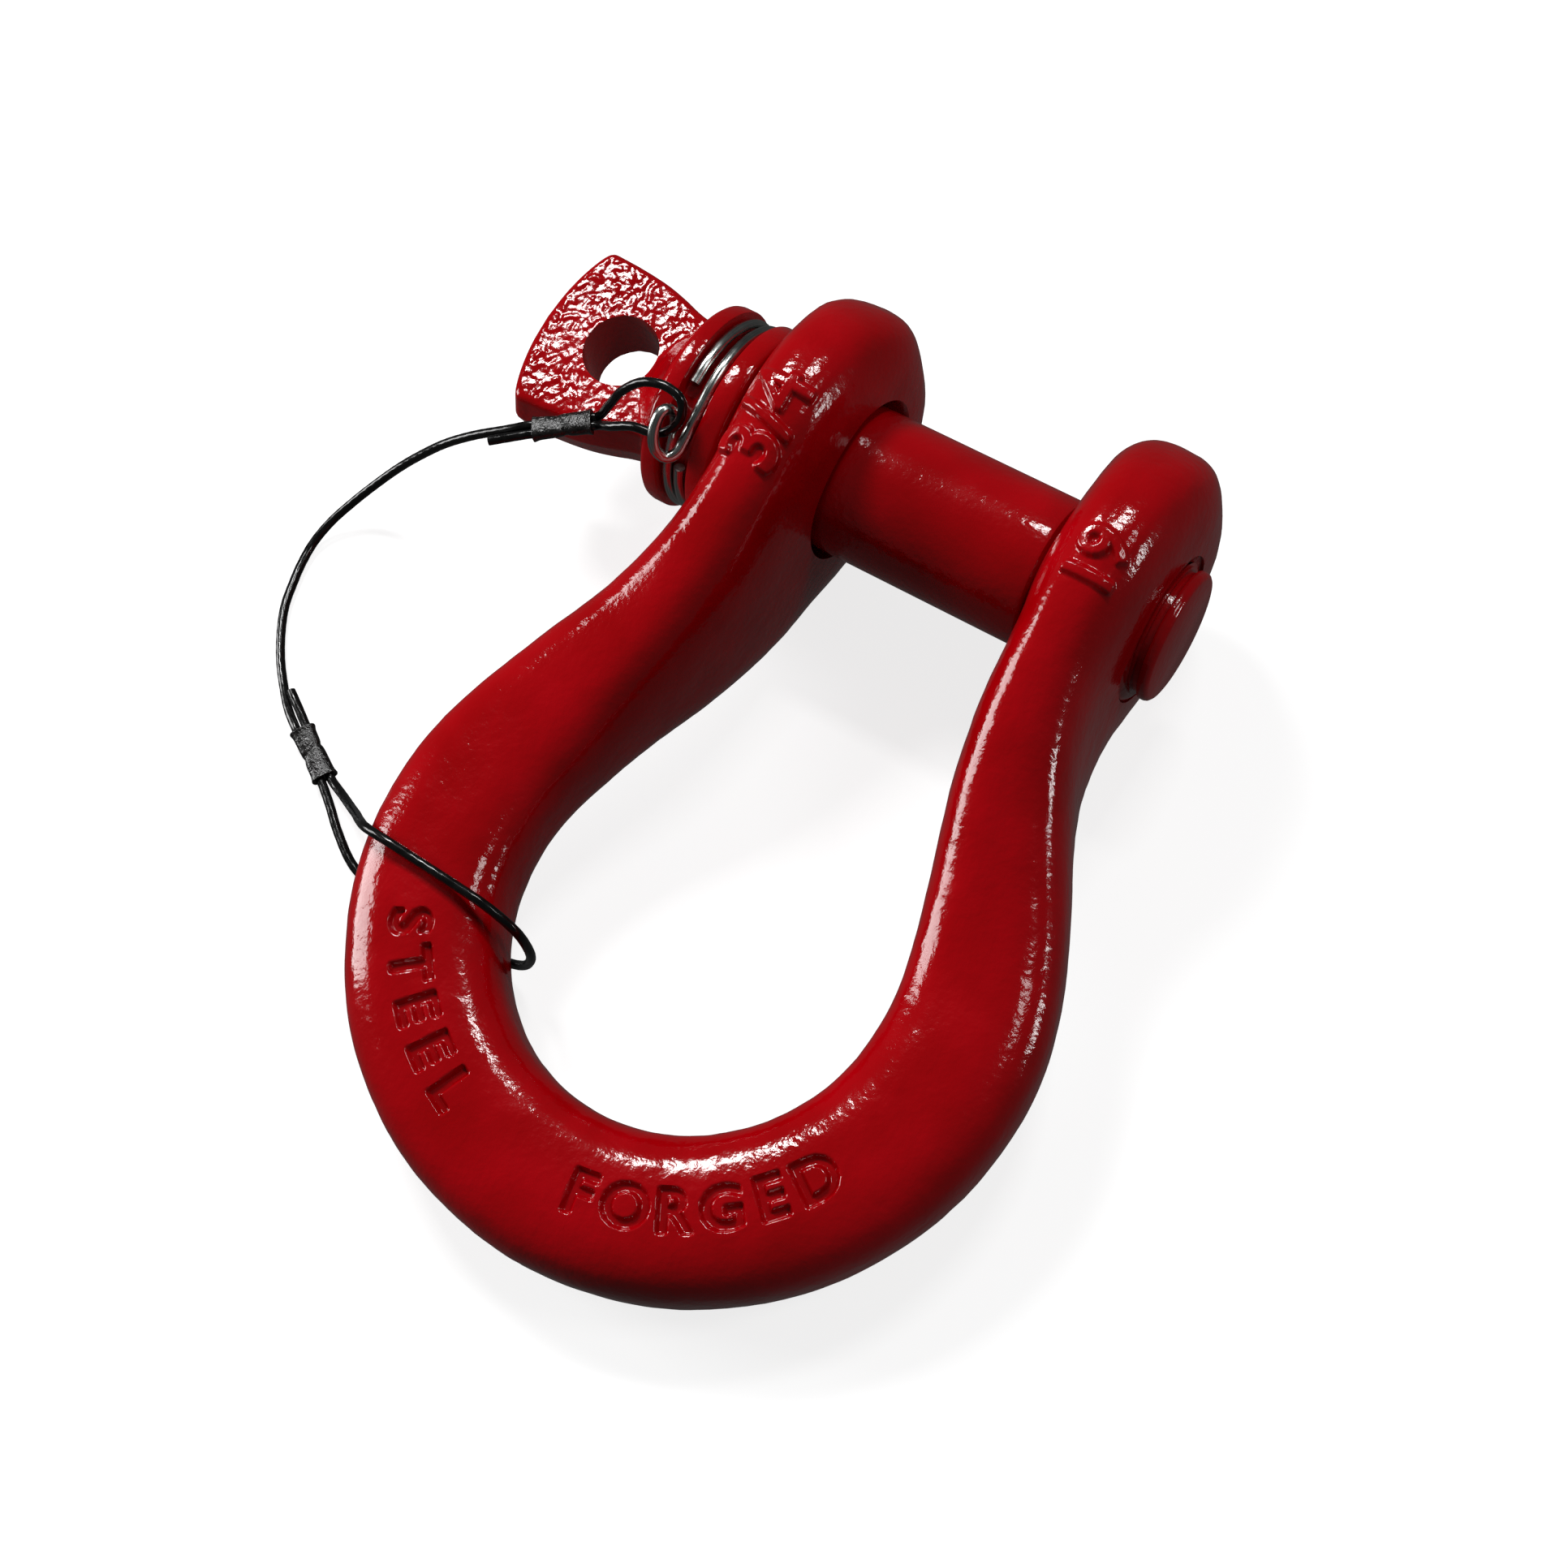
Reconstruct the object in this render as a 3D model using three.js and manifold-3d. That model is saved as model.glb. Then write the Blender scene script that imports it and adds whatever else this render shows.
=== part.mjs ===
// A screw-pin bow shackle with a captive pin: forged bow, eye-tab screw pin, wire retaining ring
// and a coated wire lanyard with two crimped ferrules. Millimetres, +Z up.
//
// The shackle is drawn in its own axes (X along the pin with the tab at -X, Y from crown to pin,
// Z square to the bow) and then laid on the ground, where it rests on both ear rims and the crown.
import * as THREE from "three";
import { mergeVertices } from "three/addons/utils/BufferGeometryUtils.js";
import Module from "manifold-3d";

// ---- driving dimensions, mm ----
const PIN_D = 22.2; // shank diameter
const JAW = 32; // clear width between the ears
const EAR_T = 16.4; // ear thickness along the pin
const EAR_D = 47.2; // ear diameter about the pin
const EAR_NOSE = 8; // length over which the ear's tip is rounded
const HOLE_CLEARANCE = 1.2; // radial, shank in the plain ear
const BOW_R = 27.5; // inside radius of the crown
const CROWN_Y = -68; // centre of the crown arc below the pin
const BAR_W = 21.8; // crown bar, in the plane of the bow
const BAR_H = 18.2; // crown bar, square to the bow
const WAIST_W = 14.2; // leg just below the ear, in the plane of the bow
const LEG_SQUARE = 3.2; // superellipse exponent of the flattened bar
const EAR_BLEND = 65; // leg length over which the ear's height falls to the bar's
const CROWN_ARC = 17; // degrees that the crown arc reaches above its centre
const LEG_PULL = [24, 21.5]; // handles of the leg's curve at the ear and at the crown

const THREAD_D = 22; // thread over its crests
const THREAD_PITCH = 2.5;
const THREAD_DEPTH = 1.35;
const THREAD_FLANK = Math.tan(Math.PI / 6); // run per unit of depth, 60 degree thread
const THREAD_CREST = 0.3; // width of the crest along the pin
const THREAD_GAP = 0.3; // square to the flanks, pin to ear
const LEAD_IN = 0.5; // countersink at both mouths of the threaded ear
const THREAD_START = 0.5; // shank shoulder short of the threaded ear
const END_CAP_L = 2; // plain end of the pin beyond its undercut
const END_CAP_D = 19.4;
const END_CHAMFER = 0.8;
const UNDERCUT_L = 1; // undercut that shows just outside the ear
const UNDERCUT_D = 18;

const SEAT_GAP = 0.3; // shoulder to ear, with the pin screwed home
const FLANGE_D = 30.6;
const SHOULDER_T = 3.6; // inner flange, which seats on the ear
const GROOVE_W = 5;
const GROOVE_D = 25.2;
const FLANGE_T = 2.9; // outer flange
const FLANGE_ROUND = 0.9;
const NECK_L = 7.5; // from the outer flange to the tab's flat
const NECK_D = 20;
const TAB_L = 26; // from the outer flange to the tab's outer end
const TAB_W = 26.6; // across the widest part
const TAB_NECK_W = 18.6; // across the waist next to the neck
const TAB_T = 10.6;
const TAB_EDGE = 1.1; // rounding of the tab's edges
const TAB_HOLE_D = 11.4;
const TAB_HOLE_AT = 12.3; // hole centre from the outer flange

const RING_WIRE_D = 1.7;
const RING_SEAT = 0.3; // wire to groove floor
const RING_TURN_GAP = 0.25; // between the two turns
const RING_PITCH = RING_WIRE_D + RING_TURN_GAP;
const RING_END_A = 101; // degrees about the pin, from +Y towards +Z
const RING_END_B = 153;
const RING_EYE_AT = 130; // the small eye bent up between the turns
const RING_EYE_H = 4.6; // its outer bend above the turns

const CABLE_D = 1.4; // over the coating
const STRAND_STEP = 1.5; // between the two strands in a ferrule
const FERRULE_L = 8.8;
const FERRULE_W = 3.9;
const FERRULE_H = 2.4;
const FERRULE_FLARE = 1.1; // ends, to body
const FERRULE_WAIST = 0.94; // crimp, to body
const FERRULE_GAP = 0.2; // cable to bore

// ---- solids ----
const wasm = await Module();
wasm.setup();

function solid(geometry) {
  const bare = new THREE.BufferGeometry();
  const source = geometry.index ? geometry.toNonIndexed() : geometry;
  bare.setAttribute("position", source.getAttribute("position"));
  const merged = mergeVertices(bare, 1e-4);
  return new wasm.Manifold(
    new wasm.Mesh({
      numProp: 3,
      vertProperties: merged.attributes.position.array,
      triVerts: new Uint32Array(merged.index.array),
    }),
  );
}

function geometryOf(manifold) {
  const mesh = manifold.getMesh();
  const geometry = new THREE.BufferGeometry();
  const positions = new THREE.BufferAttribute(mesh.vertProperties, 3);
  geometry.setAttribute("position", positions);
  geometry.setIndex(new THREE.BufferAttribute(mesh.triVerts, 1));
  return geometry;
}

// Joins rings of equally many points into one closed skin with a fan over each end.
function loft(rings) {
  const count = rings[0].length;
  const points = rings.flat();
  const index = [];
  for (let i = 0; i < rings.length - 1; i++)
    for (let j = 0; j < count; j++) {
      const k = (j + 1) % count;
      const [a, b, c, d] = [i * count + j, i * count + k, (i + 1) * count + k, (i + 1) * count + j];
      index.push(a, b, c, a, c, d);
    }
  for (const [ring, first, turn] of [
    [rings[0], 0, 1],
    [rings.at(-1), (rings.length - 1) * count, 0],
  ]) {
    const centre = ring.reduce((sum, p) => sum.add(p), new THREE.Vector3()).divideScalar(count);
    points.push(centre);
    for (let j = 0; j < count; j++) {
      const pair = [first + j, first + ((j + 1) % count)];
      index.push(points.length - 1, pair[turn], pair[1 - turn]);
    }
  }
  const geometry = new THREE.BufferGeometry().setFromPoints(points);
  geometry.setIndex(index);
  return geometry;
}

// A turned shape about the X axis, from a profile of [x, radius] pairs that runs towards +X.
function turned(profile, segments = 28) {
  const points = profile.map(([x, r]) => new THREE.Vector2(r, x));
  return new THREE.LatheGeometry(points, segments).rotateZ(-Math.PI / 2);
}

function meshOf(name, geometry, material) {
  const mesh = new THREE.Mesh(geometry, material);
  mesh.name = name;
  return mesh;
}

const smooth = (u) => THREE.MathUtils.smoothstep(u, 0, 1);

// ---- bow ----
const EAR_X = (JAW + EAR_T) / 2;
const EAR_OUT = JAW / 2 + EAR_T;
const EAR_R = EAR_D / 2;
const LEG_TOP = -EAR_R * 0.36; // the leg starts to bend here, inside the ear
const CROWN_RC = BOW_R + BAR_W / 2;

// A ring of the bow's section: half width along side, half height along Z.
function barSection(at, side, halfWidth, halfHeight, segments = 20) {
  return Array.from({ length: segments }, (_, j) => {
    const t = (j / segments) * 2 * Math.PI;
    const [c, s] = [Math.cos(t), Math.sin(t)];
    const u = Math.sign(c) * Math.abs(c) ** (2 / LEG_SQUARE) * halfWidth;
    const v = Math.sign(s) * Math.abs(s) ** (2 / LEG_SQUARE) * halfHeight;
    return new THREE.Vector3(at.x + side.x * u, at.y + side.y * u, v);
  });
}

// Centre line of the +X half below the pin: straight through the ear, a bend, then the crown.
function legLine() {
  const phi = THREE.MathUtils.degToRad(CROWN_ARC);
  const start = new THREE.Vector2(EAR_X, LEG_TOP);
  const end = new THREE.Vector2(CROWN_RC * Math.cos(phi), CROWN_Y + CROWN_RC * Math.sin(phi));
  const arrive = new THREE.Vector2(Math.sin(phi), -Math.cos(phi));
  const path = new THREE.CurvePath();
  path.add(new THREE.LineCurve(new THREE.Vector2(EAR_X, 0), start));
  path.add(
    new THREE.CubicBezierCurve(
      start,
      new THREE.Vector2(EAR_X, LEG_TOP - LEG_PULL[0]),
      end.clone().addScaledVector(arrive, -LEG_PULL[1]),
      end,
    ),
  );
  path.add(new THREE.EllipseCurve(0, CROWN_Y, CROWN_RC, CROWN_RC, phi, -Math.PI / 2, true));
  return path;
}

function bowBlank() {
  const right = [];
  for (const t of [0.03, 0.2, 0.4, 0.6, 0.8]) {
    const y = EAR_R * Math.cos((t * Math.PI) / 2);
    const nose = Math.max(0, 1 - (EAR_R - y) / EAR_NOSE);
    const halfWidth = (EAR_T / 2) * Math.sqrt(1 - nose ** 2);
    const height = Math.sqrt(EAR_R ** 2 - y ** 2);
    right.push(barSection(new THREE.Vector2(EAR_X, y), new THREE.Vector2(1, 0), halfWidth, height));
  }
  const path = legLine();
  const length = path.getLength();
  const steps = 21;
  for (let i = 0; i <= steps; i++) {
    const s = (i / steps) * length;
    const tangent = path.getTangentAt(i / steps);
    const side = new THREE.Vector2(-tangent.y, tangent.x);
    const height = THREE.MathUtils.lerp(EAR_R, BAR_H / 2, smooth((s + 3) / EAR_BLEND));
    const upper = THREE.MathUtils.lerp(EAR_T, WAIST_W, smooth(s / 16));
    const width = THREE.MathUtils.lerp(upper, BAR_W, smooth((s - 10) / 62));
    right.push(barSection(path.getPointAt(i / steps), side, width / 2, height));
  }
  const left = right
    .slice(0, -1)
    .reverse()
    .map((ring) => ring.map((p) => new THREE.Vector3(-p.x, p.y, p.z)));
  return loft([...right, ...left]);
}

// ---- thread ----
// One helical ridge on a root cylinder, its crest at THREAD_D grown by gap on every flank.
function threadRod(from, to, rootR, gap) {
  const perTurn = 16;
  const grow = gap / Math.cos(Math.PI / 6);
  const crestR = THREAD_D / 2 + gap;
  const halfAt = (r) => THREAD_CREST / 2 + grow + (THREAD_D / 2 - r) * THREAD_FLANK;
  const foot = rootR - 0.3; // sunk into the root cylinder
  const corners = [
    [halfAt(foot), foot],
    [halfAt(crestR), crestR],
    [-halfAt(crestR), crestR],
    [-halfAt(foot), foot],
  ];
  const first = Math.floor(from / THREAD_PITCH) * perTurn;
  const last = Math.ceil(to / THREAD_PITCH) * perTurn;
  const rings = [];
  for (let i = first; i <= last; i++) {
    const angle = (i / perTurn) * 2 * Math.PI;
    const x = (i / perTurn) * THREAD_PITCH;
    rings.push(
      corners.map(
        ([dx, r]) => new THREE.Vector3(x + dx, r * Math.cos(angle), r * Math.sin(angle)),
      ),
    );
  }
  const span = [from - 4 * THREAD_PITCH, to + 4 * THREAD_PITCH];
  const core = solid(turned([[span[0], 0], [span[0], rootR], [span[1], rootR], [span[1], 0]], perTurn));
  const sleeve = crestR + 1;
  const trim = solid(turned([[from, 0], [from, sleeve], [to, sleeve], [to, 0]], perTurn));
  return core.add(solid(loft(rings))).intersect(trim);
}

const THREAD_ROOT = THREAD_D / 2 - THREAD_DEPTH;
const BORE_ROOT = THREAD_ROOT + 0.45; // threaded ear, over its own crests

function makeBow() {
  const past = 2; // cutters run past the ears' faces
  const holeR = PIN_D / 2 + HOLE_CLEARANCE;
  const hole = turned([
    [-EAR_OUT - past, 0],
    [-EAR_OUT - past, holeR],
    [-JAW / 2 + past, holeR],
    [-JAW / 2 + past, 0],
  ]);
  const thread = threadRod(JAW / 2 - past, EAR_OUT + past, BORE_ROOT, THREAD_GAP);
  const mouth = THREAD_D / 2 + THREAD_GAP + LEAD_IN;
  const leadIn = turned([
    [JAW / 2 - past, 0],
    [JAW / 2 - past, mouth + past],
    [JAW / 2 + LEAD_IN * 2, mouth - LEAD_IN * 2],
    [EAR_OUT - LEAD_IN * 2, mouth - LEAD_IN * 2],
    [EAR_OUT + past, mouth + past],
    [EAR_OUT + past, 0],
  ]);
  const cut = solid(hole).add(thread).add(solid(leadIn));
  return geometryOf(solid(bowBlank()).subtract(cut));
}

// ---- screw pin ----
const SEAT_X = -EAR_OUT - SEAT_GAP;
const GROOVE_X = SEAT_X - SHOULDER_T; // groove's side next to the ear
const FLANGE_X = GROOVE_X - GROOVE_W; // groove's other side
const HEAD_X = FLANGE_X - FLANGE_T; // outer face of the outer flange
const THREAD_X = JAW / 2 - THREAD_START;
const PIN_END = EAR_OUT + UNDERCUT_L + END_CAP_L - 0.4;

function pinBody() {
  const [flange, pin, cap] = [FLANGE_D / 2, PIN_D / 2, END_CAP_D / 2];
  const neck = NECK_D / 2;
  return turned([
    [HEAD_X - NECK_L, 0],
    [HEAD_X - NECK_L, TAB_T / 2 - TAB_EDGE],
    [HEAD_X - NECK_L * 0.6, neck * 0.8],
    [HEAD_X - NECK_L * 0.25, neck],
    [HEAD_X, neck + 1.6],
    [HEAD_X + 0.1, flange - FLANGE_ROUND],
    [HEAD_X + FLANGE_ROUND, flange],
    [FLANGE_X, flange],
    [FLANGE_X, GROOVE_D / 2],
    [GROOVE_X, GROOVE_D / 2],
    [GROOVE_X, flange],
    [SEAT_X - FLANGE_ROUND, flange],
    [SEAT_X, flange - FLANGE_ROUND],
    [SEAT_X, pin],
    [THREAD_X - 1, pin],
    [THREAD_X, THREAD_ROOT],
    [PIN_END - END_CAP_L - UNDERCUT_L, THREAD_ROOT],
    [PIN_END - END_CAP_L - UNDERCUT_L, UNDERCUT_D / 2],
    [PIN_END - END_CAP_L, UNDERCUT_D / 2],
    [PIN_END - END_CAP_L, cap],
    [PIN_END - END_CHAMFER, cap],
    [PIN_END, cap - END_CHAMFER],
    [PIN_END, 0],
  ]);
}

// The eye tab: a fan with a rounded outer end, waisted towards the neck, with a round hole.
function tabBody() {
  const [half, waist] = [TAB_W / 2, TAB_NECK_W / 2];
  const outline = new THREE.Shape();
  outline.moveTo(FLANGE_X, -waist - 1);
  outline.lineTo(HEAD_X, -waist - 1);
  outline.quadraticCurveTo(HEAD_X - NECK_L * 0.5, -waist, HEAD_X - NECK_L, -waist - 0.7);
  outline.quadraticCurveTo(HEAD_X - TAB_L * 0.55, -half * 0.93, HEAD_X - TAB_L * 0.79, -half);
  outline.quadraticCurveTo(HEAD_X - TAB_L * 1.07, -half * 0.55, HEAD_X - TAB_L, 0);
  outline.quadraticCurveTo(HEAD_X - TAB_L * 1.07, half * 0.55, HEAD_X - TAB_L * 0.79, half);
  outline.quadraticCurveTo(HEAD_X - TAB_L * 0.55, half * 0.93, HEAD_X - NECK_L, waist + 0.7);
  outline.quadraticCurveTo(HEAD_X - NECK_L * 0.5, waist, HEAD_X, waist + 1);
  outline.lineTo(FLANGE_X, waist + 1);
  outline.closePath();
  const hole = new THREE.Path();
  hole.absarc(HEAD_X - TAB_HOLE_AT, 0, TAB_HOLE_D / 2, 0, 2 * Math.PI);
  outline.holes.push(hole);
  const body = new THREE.ExtrudeGeometry(outline, {
    depth: TAB_T - 2 * TAB_EDGE,
    curveSegments: 8,
    bevelSize: TAB_EDGE,
    bevelThickness: TAB_EDGE,
    bevelOffset: -TAB_EDGE,
    bevelSegments: 2,
  });
  return body.translate(0, 0, -TAB_T / 2 + TAB_EDGE);
}

function makePin() {
  const capStart = PIN_END - END_CAP_L - UNDERCUT_L;
  const thread = threadRod(THREAD_X - 0.5, capStart - 0.2, THREAD_ROOT - 0.2, 0);
  return geometryOf(solid(pinBody()).add(thread).add(solid(tabBody())));
}

// ---- retaining ring ----
const TURN_R = GROOVE_D / 2 + RING_SEAT + RING_WIRE_D / 2;

function around(x, degrees, radius) {
  const t = THREE.MathUtils.degToRad(degrees);
  return new THREE.Vector3(x, radius * Math.cos(t), radius * Math.sin(t));
}

// Two turns in the groove with one small eye bent up between them. The eye's points are
// [step towards the shoulder, degrees past the eye's middle, height above the turns], and the steps
// are drawn for EYE_ROOM, the wire's play across the groove.
const EYE_ROOM = 2.7;
const EYE = [
  [0.1, 8, 0.1],
  [0.2, -1, 0.6],
  [0.2, -7, 1.4],
  [-0.3, -11.5, 3],
  [-0.9, -9.5, 4.1],
  [-1, -4, 4.6],
  [-0.6, 3, 4.7],
  [0.2, 8.5, 4.3],
  [1.4, 11, 3.4],
  [2.4, 8, 2.3],
  [2.6, 2, 1.5],
  [2.55, -8, 0.6],
];

function ringLine() {
  const outer = FLANGE_X + RING_SEAT + RING_WIRE_D / 2;
  const share = (GROOVE_W - 2 * RING_SEAT - RING_WIRE_D) / EYE_ROOM;
  const points = [];
  const turn = (fromX, toX, from, to) => {
    const count = 24;
    for (let i = 0; i <= count; i++) {
      const [x, at] = [THREE.MathUtils.lerp(fromX, toX, i / count), THREE.MathUtils.lerp(from, to, i / count)];
      points.push(around(x, at, TURN_R));
    }
  };
  turn(outer, outer, RING_END_A, RING_EYE_AT + 20 - 360);
  for (const [step, past, lift] of EYE)
    points.push(around(outer + step * share, RING_EYE_AT + past, TURN_R + (lift * RING_EYE_H) / 4.6));
  turn(outer + 2.5 * share, outer + RING_PITCH, RING_EYE_AT - 20, RING_END_B - 360);
  return new THREE.CatmullRomCurve3(points, false, "centripetal");
}

// A closed round tube along a curve.
function tube(curve, diameter, steps, sides) {
  const section = new THREE.Shape();
  for (let j = 0; j < sides; j++) {
    const t = (j / sides) * 2 * Math.PI;
    const [x, y] = [(diameter / 2) * Math.cos(t), (diameter / 2) * Math.sin(t)];
    if (j) section.lineTo(x, y);
    else section.moveTo(x, y);
  }
  return new THREE.ExtrudeGeometry(section, { steps, extrudePath: curve });
}

// ---- lanyard ----
// The cable's route on the ground: origin under the pin's middle, Z up from the ground. The upper
// part runs from its cut end through the ring's eye and out over the tab to the ground, the lower
// part from there through its ferrule, under the bow's leg, over it and back to its cut end.
const UPPER_FERRULE = { at: [-56.65, -15.45, 28.5], along: [6.6, 4.3, 1] };
const LOWER_FERRULE = { at: [-69.85, -68.8, 2.15], along: [7.7, -4.6, -0.5] };

// One strand's straight run in a ferrule, from the end that along points away from.
function strand(ferrule, side) {
  const along = new THREE.Vector3(...ferrule.along).normalize();
  const across = new THREE.Vector3(along.y, -along.x, 0).normalize();
  const middle = new THREE.Vector3(...ferrule.at).addScaledVector(across, (side * STRAND_STEP) / 2);
  const half = FERRULE_L / 2;
  return [-half - 0.8, 0.4 - half, half - 0.4, half + 0.8].map((d) => middle.clone().addScaledVector(along, d).toArray());
}

const UPPER_ROUTE = [
  [-65.4, -22.2, 26.9],
  ...strand(UPPER_FERRULE, 1),
  [-49.2, -13.5, 31.2],
  [-45.4, -13.1, 33.4],
  [-42.3, -12.9, 34],
  [-40.5, -12.4, 34.5],
  [-39, -11.5, 35.8],
  [-38.3, -10.3, 37.6],
  [-38.9, -9.1, 39.3],
  [-41.6, -8.5, 39.9],
  [-45.4, -8.9, 38.9],
  [-48.9, -10, 35.6],
  [-51, -11, 32],
  ...strand(UPPER_FERRULE, -1).reverse(),
  [-64.4, -19.2, 26.6],
  [-69.6, -20.9, 23.6],
  [-74.6, -22.4, 19.8],
  [-79, -23.9, 15.6],
  [-83, -25.7, 11.5],
  [-86.5, -28.2, 7.8],
  [-89.6, -31.5, 4.6],
  [-91.8, -35.4, 2.4],
  [-92.6, -39.4, 1.2],
  [-92.1, -43.4, 0.85],
  [-91.3, -46.2, 0.8],
];

const LOWER_ROUTE = [
  [-91.2, -46.6, 0.8],
  [-89.9, -50.3, 0.8],
  [-87.8, -54, 0.8],
  [-84.7, -58.2, 0.8],
  [-81, -62, 1.1],
  [-77.6, -64.9, 1.9],
  ...strand(LOWER_FERRULE, 1),
  [-62.9, -74.2, 1.7],
  [-59.5, -76.9, 1.4],
  [-54, -80.2, 1.2],
  [-46.2, -81.8, 1.1],
  [-35.2, -81.7, 1.2],
  [-27.4, -81.4, 2.2],
  [-22.6, -81.1, 5.2],
  [-20.3, -80.9, 10],
  [-19.9, -80.9, 15],
  [-21, -80.9, 19.4],
  [-24.8, -80.8, 22.5],
  [-31.2, -80.6, 23.5],
  [-37.6, -80.3, 23.4],
  [-42.2, -80.1, 23.5],
  [-46.2, -79.6, 22.1],
  [-49.9, -78, 17.6],
  [-53.7, -76, 11.8],
  [-57.4, -74.2, 6.8],
  [-61.3, -72.4, 3.6],
  ...strand(LOWER_FERRULE, -1).reverse(),
  [-76.2, -64, 2.7],
  [-78.9, -62.3, 2.8],
];

function cable(route, steps) {
  const points = route.map((p) => new THREE.Vector3(...p));
  return tube(new THREE.CatmullRomCurve3(points, false, "centripetal"), CABLE_D, steps, 8);
}

// A flat-sided oval sleeve along Z with flared ends and one crimp, drawn about its own middle.
function ferruleBody() {
  const oval = (width, height, z) => {
    const [r, count] = [height / 2, 12];
    return Array.from({ length: count }, (_, j) => {
      const t = ((j + 0.5) / count) * 2 * Math.PI;
      const shift = Math.sign(Math.cos(t)) * (width / 2 - r);
      return new THREE.Vector3(shift + r * Math.cos(t), r * Math.sin(t), z);
    });
  };
  const half = FERRULE_L / 2;
  const outside = [
    [-half, FERRULE_FLARE],
    [-half + 0.8, 1],
    [-0.9, 1],
    [0, FERRULE_WAIST],
    [0.9, 1],
    [half - 0.8, 1],
    [half, FERRULE_FLARE],
  ].map(([z, k]) => oval(FERRULE_W * k, FERRULE_H * k, z));
  const bore = CABLE_D + 2 * FERRULE_GAP;
  const inside = [-half - 1, half + 1].map((z) => oval(bore + STRAND_STEP, bore, z));
  return geometryOf(solid(loft(outside)).subtract(solid(loft(inside))));
}

function ferrule(name, { at, along }) {
  const mesh = meshOf(name, ferruleBody(), black);
  const z = new THREE.Vector3(...along).normalize();
  const x = new THREE.Vector3(z.y, -z.x, 0).normalize();
  const y = new THREE.Vector3().crossVectors(z, x);
  mesh.quaternion.setFromRotationMatrix(new THREE.Matrix4().makeBasis(x, y, z));
  mesh.position.set(...at);
  return mesh;
}

// ---- assembly ----
const paint = new THREE.MeshStandardMaterial({ color: 0x9c0007, roughness: 0.25, metalness: 0.1 });
const steel = new THREE.MeshStandardMaterial({ color: 0x7d8380, roughness: 0.35, metalness: 0.9 });
const black = new THREE.MeshStandardMaterial({ color: 0x0b0b0c, roughness: 0.4, metalness: 0 });

// The angle at which the crown comes down to the ground that the ear rims stand on.
function restTilt(bow) {
  const at = bow.getAttribute("position");
  let tilt = Math.PI / 2;
  for (let i = 0; i < at.count; i++) {
    const [down, z] = [-at.getY(i), at.getZ(i)];
    const reach = Math.hypot(down, z);
    if (down > EAR_R) tilt = Math.min(tilt, Math.asin(EAR_R / reach) + Math.atan2(z, down));
  }
  return tilt;
}

const bow = meshOf("bow", makeBow(), paint);
const shackle = new THREE.Group();
shackle.rotation.x = restTilt(bow.geometry);
shackle.position.z = EAR_R;
shackle.add(bow);
shackle.add(meshOf("screw_pin", makePin(), paint));
shackle.add(meshOf("retaining_ring", tube(ringLine(), RING_WIRE_D, 96, 8), steel));

const ground = new THREE.Group();
ground.add(shackle);
ground.add(meshOf("lanyard_cable_upper", cable(UPPER_ROUTE, 40), black));
ground.add(meshOf("lanyard_cable_lower", cable(LOWER_ROUTE, 42), black));
ground.add(ferrule("ferrule_upper", UPPER_FERRULE));
ground.add(ferrule("ferrule_lower", LOWER_FERRULE));

// The part's origin lies on the ground, under the middle of the shackle's bounding box.
const box = new THREE.Box3().setFromObject(shackle, true);
const middle = box.getCenter(new THREE.Vector3());
ground.position.set(-middle.x, -middle.y, -box.min.z);

const part = new THREE.Group();
part.add(ground);

export default part;
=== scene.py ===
# A screw-pin bow shackle lying on a white table: glossy red powder-coated forgings, a drawn-wire
# retaining ring and a black coated lanyard with two crimped ferrules. Lengths are in metres.
import math

import bmesh
import bpy
from mathutils import Matrix, Vector
from mathutils.bvhtree import BVHTree


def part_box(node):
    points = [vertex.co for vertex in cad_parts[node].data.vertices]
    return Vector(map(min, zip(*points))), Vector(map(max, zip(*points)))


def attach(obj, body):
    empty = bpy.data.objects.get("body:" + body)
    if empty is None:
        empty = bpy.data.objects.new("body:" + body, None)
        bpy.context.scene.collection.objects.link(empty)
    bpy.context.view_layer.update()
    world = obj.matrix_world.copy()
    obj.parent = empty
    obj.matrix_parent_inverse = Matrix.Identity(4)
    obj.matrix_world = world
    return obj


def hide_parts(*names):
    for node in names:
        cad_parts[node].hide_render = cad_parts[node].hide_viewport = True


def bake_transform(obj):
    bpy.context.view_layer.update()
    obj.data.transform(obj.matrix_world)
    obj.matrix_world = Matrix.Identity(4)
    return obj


MM = 0.001
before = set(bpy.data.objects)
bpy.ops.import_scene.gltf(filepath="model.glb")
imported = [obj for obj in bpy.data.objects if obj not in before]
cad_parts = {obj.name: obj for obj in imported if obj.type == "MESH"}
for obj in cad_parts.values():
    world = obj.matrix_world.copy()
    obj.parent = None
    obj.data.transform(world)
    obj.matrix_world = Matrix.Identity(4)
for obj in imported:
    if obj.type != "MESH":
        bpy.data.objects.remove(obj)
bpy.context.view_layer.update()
bpy.ops.object.select_all(action="DESELECT")

# The ground frame has its origin on the table, under the pin's axis and midway between the ears.
# The shackle's own axes (X along the pin, Y from crown to pin, Z square to the bow) are tilted in
# it about the pin.
bow_low, bow_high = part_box("bow")
pin_low, pin_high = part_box("screw_pin")
PIN_Y = (pin_low.y + pin_high.y) / 2
PIN_Z = (pin_low.z + pin_high.z) / 2
BOW_X = (bow_low.x + bow_high.x) / 2
TILT = math.radians(7.65)
GROUND = Matrix.Translation((BOW_X, PIN_Y, 0))
SHACKLE = Matrix.Translation((BOW_X, PIN_Y, PIN_Z)) @ Matrix.Rotation(TILT, 4, "X")

PIN_R = 11.1 * MM
JAW = 32 * MM
EAR_T = 16.4 * MM
EAR_R = 23.6 * MM
EAR_X = (JAW + EAR_T) / 2
EAR_OUT = JAW / 2 + EAR_T


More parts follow.
